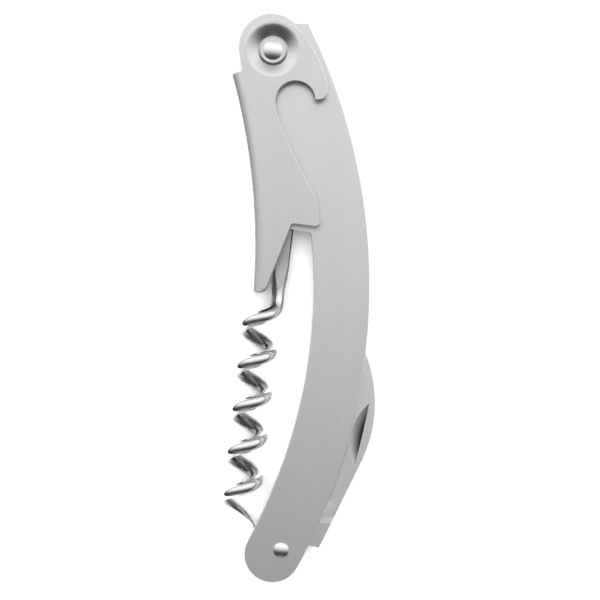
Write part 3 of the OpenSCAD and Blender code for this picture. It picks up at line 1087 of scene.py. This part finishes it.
@dataclass
class Knife:
    """The foil knife: a bellied blade with a hollow ground edge, a nail nick and a round tang."""

    thickness: float = 1.5
    blade_fall: float = 0.12
    edge_t: float = 0.3
    tang_r: float = 4.3
    tang_span: tuple[float, float] = (58.0, 374.7)
    bore_r: float = 1.25
    kick: tuple[float, float] = (8.0, 0.2)
    choil: tuple[float, float] = (0.9, 1.6)
    belly_centre: tuple[float, float] = (-8.5, 31.0)
    belly_r: float = 28.4
    belly_from: float = -25.3
    belly_to: float = 34.8
    point_angle: float = 36.5
    edge_centre: tuple[float, float] = (-164.5, 65.3)
    edge_heel: float = -17.6
    grind: float = 5.2
    grind_bow: float = 1.6
    ramp: tuple[float, float] = (5.5, 6.7)
    ramp_guard: float = 0.15
    nick_low: tuple[float, float] = (15.5, 17.45)
    nick_high: tuple[float, float] = (18.65, 30.75)
    nick_width: float = 2.2
    nick_back: float = 0.12
    nick_depth: float = 0.5
    steps: int = 32
    edge_round: float = 0.07
    round_from: float = 20.0

    def edge_arc(self) -> Arc:
        """Gives the cutting edge from the point to the heel."""
        point = polar(self.belly_centre, self.belly_r, self.point_angle) - Vector((*self.edge_centre, 0.0))
        return Arc(self.edge_centre, point.length, heading(point), self.edge_heel, self.steps)

    def grind_arc(self) -> Arc:
        """Gives the line where the ground bevel meets the side's face.

        Returns:
            The line, from near the point to the heel.
        """
        edge = self.edge_arc()
        start = polar(self.belly_centre, self.belly_r, self.belly_to)
        end = polar(self.edge_centre, edge.radius + self.grind, self.edge_heel)
        back = bowed(end, start, self.grind_bow, self.steps)
        return Arc(back.centre, back.radius, back.end, back.start, self.steps)

    def half(self, bm: BMesh, side: Side) -> list[BMEdge]:
        """Builds one side of the blade: its face, the ground bevel and, in front, the nail nick.

        Args:
            bm: The mesh to build it in.
            side: The side to build.

        Returns:
            The edges of the side's rim.
        """
        known = set(bm.verts)
        edge, grind = self.edge_arc(), self.grind_arc()
        heel = polar(edge.centre, edge.radius, edge.end)
        choil = Corner(heel.x - self.choil[0], heel.y - self.choil[1])
        belly = Arc(self.belly_centre, self.belly_r, self.belly_from, self.belly_to, 44)
        tang = Arc((0.0, 0.0), self.tang_r, *self.tang_span, 48)
        back = trace(bm, [choil, tang, Corner(*self.kick), belly], closed=False)
        line = trace(bm, [grind], closed=False)
        heel_side = trace(bm, [Corner(*polar(grind.centre, grind.radius, grind.end).xy), choil], closed=False)
        rim = back + line + heel_side
        bmesh.ops.remove_doubles(bm, verts=verts_of(rim), dist=TOUCHING)
        rim = [e for e in bm.edges if not known.intersection(e.verts)]
        nick = self.nick(bm) if side is Side.FRONT else []
        bore = trace(bm, [Arc((0.0, 0.0), self.bore_r, 0.0, 360.0, 32)])
        bmesh.ops.triangle_fill(bm, edges=rim + nick + bore, use_beauty=True, normal=UP)
        self.step_tang(bm, [v for v in bm.verts if v not in known])
        line = [e for e in bm.edges if not known.intersection(e.verts) and e.is_boundary
                and all(self.on_arc(v, grind) for v in e.verts)]
        cutting = trace(bm, [edge], closed=False)
        bmesh.ops.translate(bm, verts=verts_of(cutting), vec=UP * (self.edge_t - self.thickness) / 2)
        for ridge in line:
            ridge.smooth = False
        bmesh.ops.bridge_loops(bm, edges=line + cutting)
        self.close_heel(bm, heel, grind, choil, known)
        new = [v for v in bm.verts if v not in known]
        bmesh.ops.translate(bm, verts=new, vec=UP * self.thickness / 2)
        if side is Side.REAR:
            bmesh.ops.scale(bm, verts=new, vec=(1.0, 1.0, -1.0))
        return [e for e in bm.edges if e.is_boundary and not known.intersection(e.verts)]

    @staticmethod
    def on_arc(vert: BMVert, arc: Arc) -> bool:
        """Says whether a point lies on an arc's stretch.

        Args:
            vert: The point.
            arc: The arc.

        Returns:
            True on the arc.
        """
        out = vert.co.xy.to_3d() - Vector((*arc.centre, 0.0))
        low, high = sorted((arc.start, arc.end))
        around = (heading(out) - low) % 360.0
        return abs(out.length - arc.radius) < 0.005 and (around < high - low + 0.01 or around > 359.99)

    @staticmethod
    def close_heel(bm: BMesh, heel: Vector, grind: Arc, choil: Corner, known: set[BMVert]) -> None:
        """Closes the step at the heel, between the ground bevel and the side's face.

        Args:
            bm: The mesh to close it in.
            heel: The end of the cutting edge.
            grind: The line where the ground bevel meets the face.
            choil: The corner below the heel.
            known: Points of the other side, which are left alone.
        """
        places = [heel, polar(grind.centre, grind.radius, grind.end), choil.first()]
        corners = [min((v for v in bm.verts if v not in known), key=lambda v: (v.co.xy - place.xy).length)
                   for place in places]
        bmesh.ops.contextual_create(bm, geom=corners)

    def step_tang(self, bm: BMesh, verts: list[BMVert]) -> None:
        """Thins the blade beyond the tang by a short ramp across the face.

        Args:
            bm: The mesh of the blade.
            verts: The points of the side to thin.
        """
        for y in (self.ramp[0] - self.ramp_guard, *self.ramp, self.ramp[1] + self.ramp_guard):
            own = set(verts)
            geom = [*own, *[e for e in bm.edges if own.issuperset(e.verts)],
                    *[f for f in bm.faces if own.issuperset(f.verts)]]
            cut = bmesh.ops.bisect_plane(bm, geom=geom, dist=0.0001, plane_co=(0, y, 0), plane_no=(0, 1, 0))
            verts = list(own.union(g for g in cut["geom_cut"] if isinstance(g, BMVert)))
        fallen = [v for v in verts if v.co.y > self.ramp[1] - 0.001]
        bmesh.ops.translate(bm, verts=fallen, vec=-UP * self.blade_fall)

    def nick(self, bm: BMesh) -> list[BMEdge]:
        """Sinks the nail nick: a steep wall along its straight side and a floor that rises from it.

        Args:
            bm: The mesh to sink it in.

        Returns:
            The edges of the nick's rim.
        """
        low, high = Vector(self.nick_low).to_3d(), Vector(self.nick_high).to_3d()
        straight = trace(bm, [bowed(low, high, self.nick_back, self.steps)], closed=False)
        curved = trace(bm, [bowed(high, low, self.nick_width, self.steps)], closed=False)
        sunk = bmesh.ops.extrude_edge_only(bm, edges=straight)["geom"]
        length = (high - low).length
        for vert in (g for g in sunk if isinstance(g, BMVert)):
            share = min(1.0, max(0.0, (vert.co.xy - low.xy).length / length))
            vert.co.z -= self.nick_depth * math.sin(math.pi * share) ** 0.7
        floor = [g for g in sunk if isinstance(g, BMEdge) and all(v in sunk for v in g.verts)]
        bmesh.ops.remove_doubles(bm, verts=verts_of(straight + floor + curved), dist=TOUCHING)
        rim = [e for e in bm.edges if all(self.in_nick(v) for v in e.verts) and len(e.link_faces) < 2]
        filled = bmesh.ops.triangle_fill(bm, edges=[e for e in rim if e not in straight],
                                         use_beauty=True, normal=UP)["geom"]
        # The nick's faces take the finish with painted shade.
        for face in (g for g in [*sunk, *filled] if isinstance(g, BMFace) and g.is_valid):
            face.material_index = 1
        lip = [e for e in bm.edges if e.is_boundary and all(self.in_nick(v) for v in e.verts)]
        for edge in lip:
            edge.smooth = False
        return lip

    def in_nick(self, vert: BMVert) -> bool:
        """Says whether a point is on the nick's rim."""
        low, high = Vector(self.nick_low), Vector(self.nick_high)
        return (vert.co.xy - (low + high) / 2).length < (high - low).length / 2 + 0.01

    def build(self) -> None:
        """Builds both sides of the blade, joins them round the rim, and dresses the knife."""
        bm = bmesh.new()
        rims = [edge for side in Side for edge in self.half(bm, side)]
        bore = [edge for edge in rims if all(v.co.xy.length < self.bore_r + TOUCHING for v in edge.verts)]
        for loops in (bore, [edge for edge in rims if edge not in bore]):
            bmesh.ops.bridge_loops(bm, edges=loops)
        bmesh.ops.translate(bm, verts=bm.verts, vec=KNIFE_PIN)
        piece = to_piece(bm, "foil_knife_blade")
        round_edges(piece, self.edge_round, angle=self.round_from)
        present(piece, BLADE_FINISH.material(), "satin_blade", "knife", "knife")
        piece.data.materials.append(NICK_FINISH.material())


# ---- Studio --------------------------------------------------------------------------------


@dataclass
class Studio:
    """A white table in a softly lit room that is brighter beyond the tool's head than before it."""

    table_side: float = 40.0
    eye: tuple[float, float, float] = (1.05, -0.45, 308.4)
    lens: float = 85.84
    along: tuple[tuple[float, float], ...] = (
        (-1.0, 0.5), (1.0, 0.5), (-0.8, 0.12), (-0.6, 0.05), (-0.35, 0.14), (-0.2, 0.34), (0.0, 0.68),
        (0.12, 0.84), (0.3, 1.05), (0.55, 1.2), (0.8, 0.9))
    height: tuple[tuple[float, float], ...] = (
        (-1.0, 0.3), (1.0, 1.0), (0.0, 0.5), (0.12, 0.4), (0.25, 0.6), (0.4, 0.95))
    window_turn: float = 6.0
    lamp_power: float = 60.0

    def table(self) -> None:
        """Lays the table under the tool."""
        bm = bmesh.new()
        bmesh.ops.create_grid(bm, x_segments=1, y_segments=1, size=self.table_side / 2)
        mesh = bpy.data.meshes.new("table")
        bm.to_mesh(mesh)
        bm.free()
        table = bpy.data.objects.new("table", mesh)
        bpy.context.scene.collection.objects.link(table)
        recipe = Recipe("white_table")
        paint = recipe.add("BsdfPrincipled", {"Base Color": (0.95, 0.95, 0.95, 1.0), "Roughness": 0.9})
        paint.inputs["Specular IOR Level"].default_value = 0.0
        recipe.add("OutputMaterial", {"Surface": paint.outputs["BSDF"]})
        mesh.materials.append(recipe.material)

    def room(self) -> None:
        """Lights the room from above, brighter towards +Y."""
        world = bpy.data.worlds.new("studio_room")
        bpy.context.scene.world = world
        world.use_nodes = True
        tree = world.node_tree
        tree.nodes.clear()
        place = tree.nodes.new("ShaderNodeTexCoord")
        turn = tree.nodes.new("ShaderNodeMapping")
        split = tree.nodes.new("ShaderNodeSeparateXYZ")
        both = tree.nodes.new("ShaderNodeMath")
        glow = tree.nodes.new("ShaderNodeBackground")
        out = tree.nodes.new("ShaderNodeOutputWorld")
        both.operation = "MULTIPLY"
        turn.inputs["Rotation"].default_value[2] = math.radians(self.window_turn)
        tree.links.new(place.outputs["Generated"], turn.inputs["Vector"])
        tree.links.new(turn.outputs[0], split.inputs[0])
        for i, (axis, stops) in enumerate((("Y", self.along), ("Z", self.height))):
            span = tree.nodes.new("ShaderNodeMapRange")
            ramp = tree.nodes.new("ShaderNodeValToRGB")
            span.inputs["From Min"].default_value = -1.0
            tree.links.new(split.outputs[axis], span.inputs["Value"])
            tree.links.new(span.outputs["Result"], ramp.inputs["Fac"])
            tree.links.new(ramp.outputs["Color"], both.inputs[i])
            for n, (share, level) in enumerate(stops):
                at = (share + 1.0) / 2.0
                stop = ramp.color_ramp.elements[n] if n < 2 else ramp.color_ramp.elements.new(at)
                stop.position = at
                stop.color = (level, level, level, 1.0)
        tree.links.new(both.outputs[0], glow.inputs["Color"])
        tree.links.new(glow.outputs[0], out.inputs["Surface"])

    @staticmethod
    def softbox(name: str, place: Vector, size: tuple[float, float], power: float) -> None:
        """Hangs a soft light that faces the tool.

        Args:
            name: The light's name.
            place: Where it hangs, in metres.
            size: Its width and height, in metres.
            power: Its power, in watts.
        """
        lamp = bpy.data.lights.new(name, "AREA")
        lamp.shape = "RECTANGLE"
        lamp.size, lamp.size_y = size
        lamp.energy = power
        light = bpy.data.objects.new(name, lamp)
        light.visible_glossy = False
        light.location = place
        light.rotation_euler = place.to_track_quat("Z", "Y").to_euler()
        bpy.context.scene.collection.objects.link(light)

    def camera(self) -> None:
        """Hangs the camera straight above the tool."""
        lens = bpy.data.cameras.new("overhead")
        lens.lens = self.lens
        lens.clip_start = 0.01
        eye = bpy.data.objects.new("overhead", lens)
        eye.location = Vector(self.eye) * MM
        bpy.context.scene.collection.objects.link(eye)
        bpy.context.scene.camera = eye

    def build(self) -> None:
        """Sets up the table, the lights and the camera."""
        self.table()
        self.room()
        self.softbox("table_lamp", Vector((0.0, 0.3, 2.0)), (2.0, 2.0), self.lamp_power)
        self.camera()
        bpy.context.scene.view_settings.view_transform = "Standard"
        log.info("studio ready")


def main() -> None:
    """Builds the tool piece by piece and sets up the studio."""
    logging.basicConfig(level=logging.INFO, format="%(name)s: %(message)s")
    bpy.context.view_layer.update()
    for part in (Studio(), Handle(), Lever(), Worm(), Knife()):
        part.build()


if __name__ == "__main__":
    main()
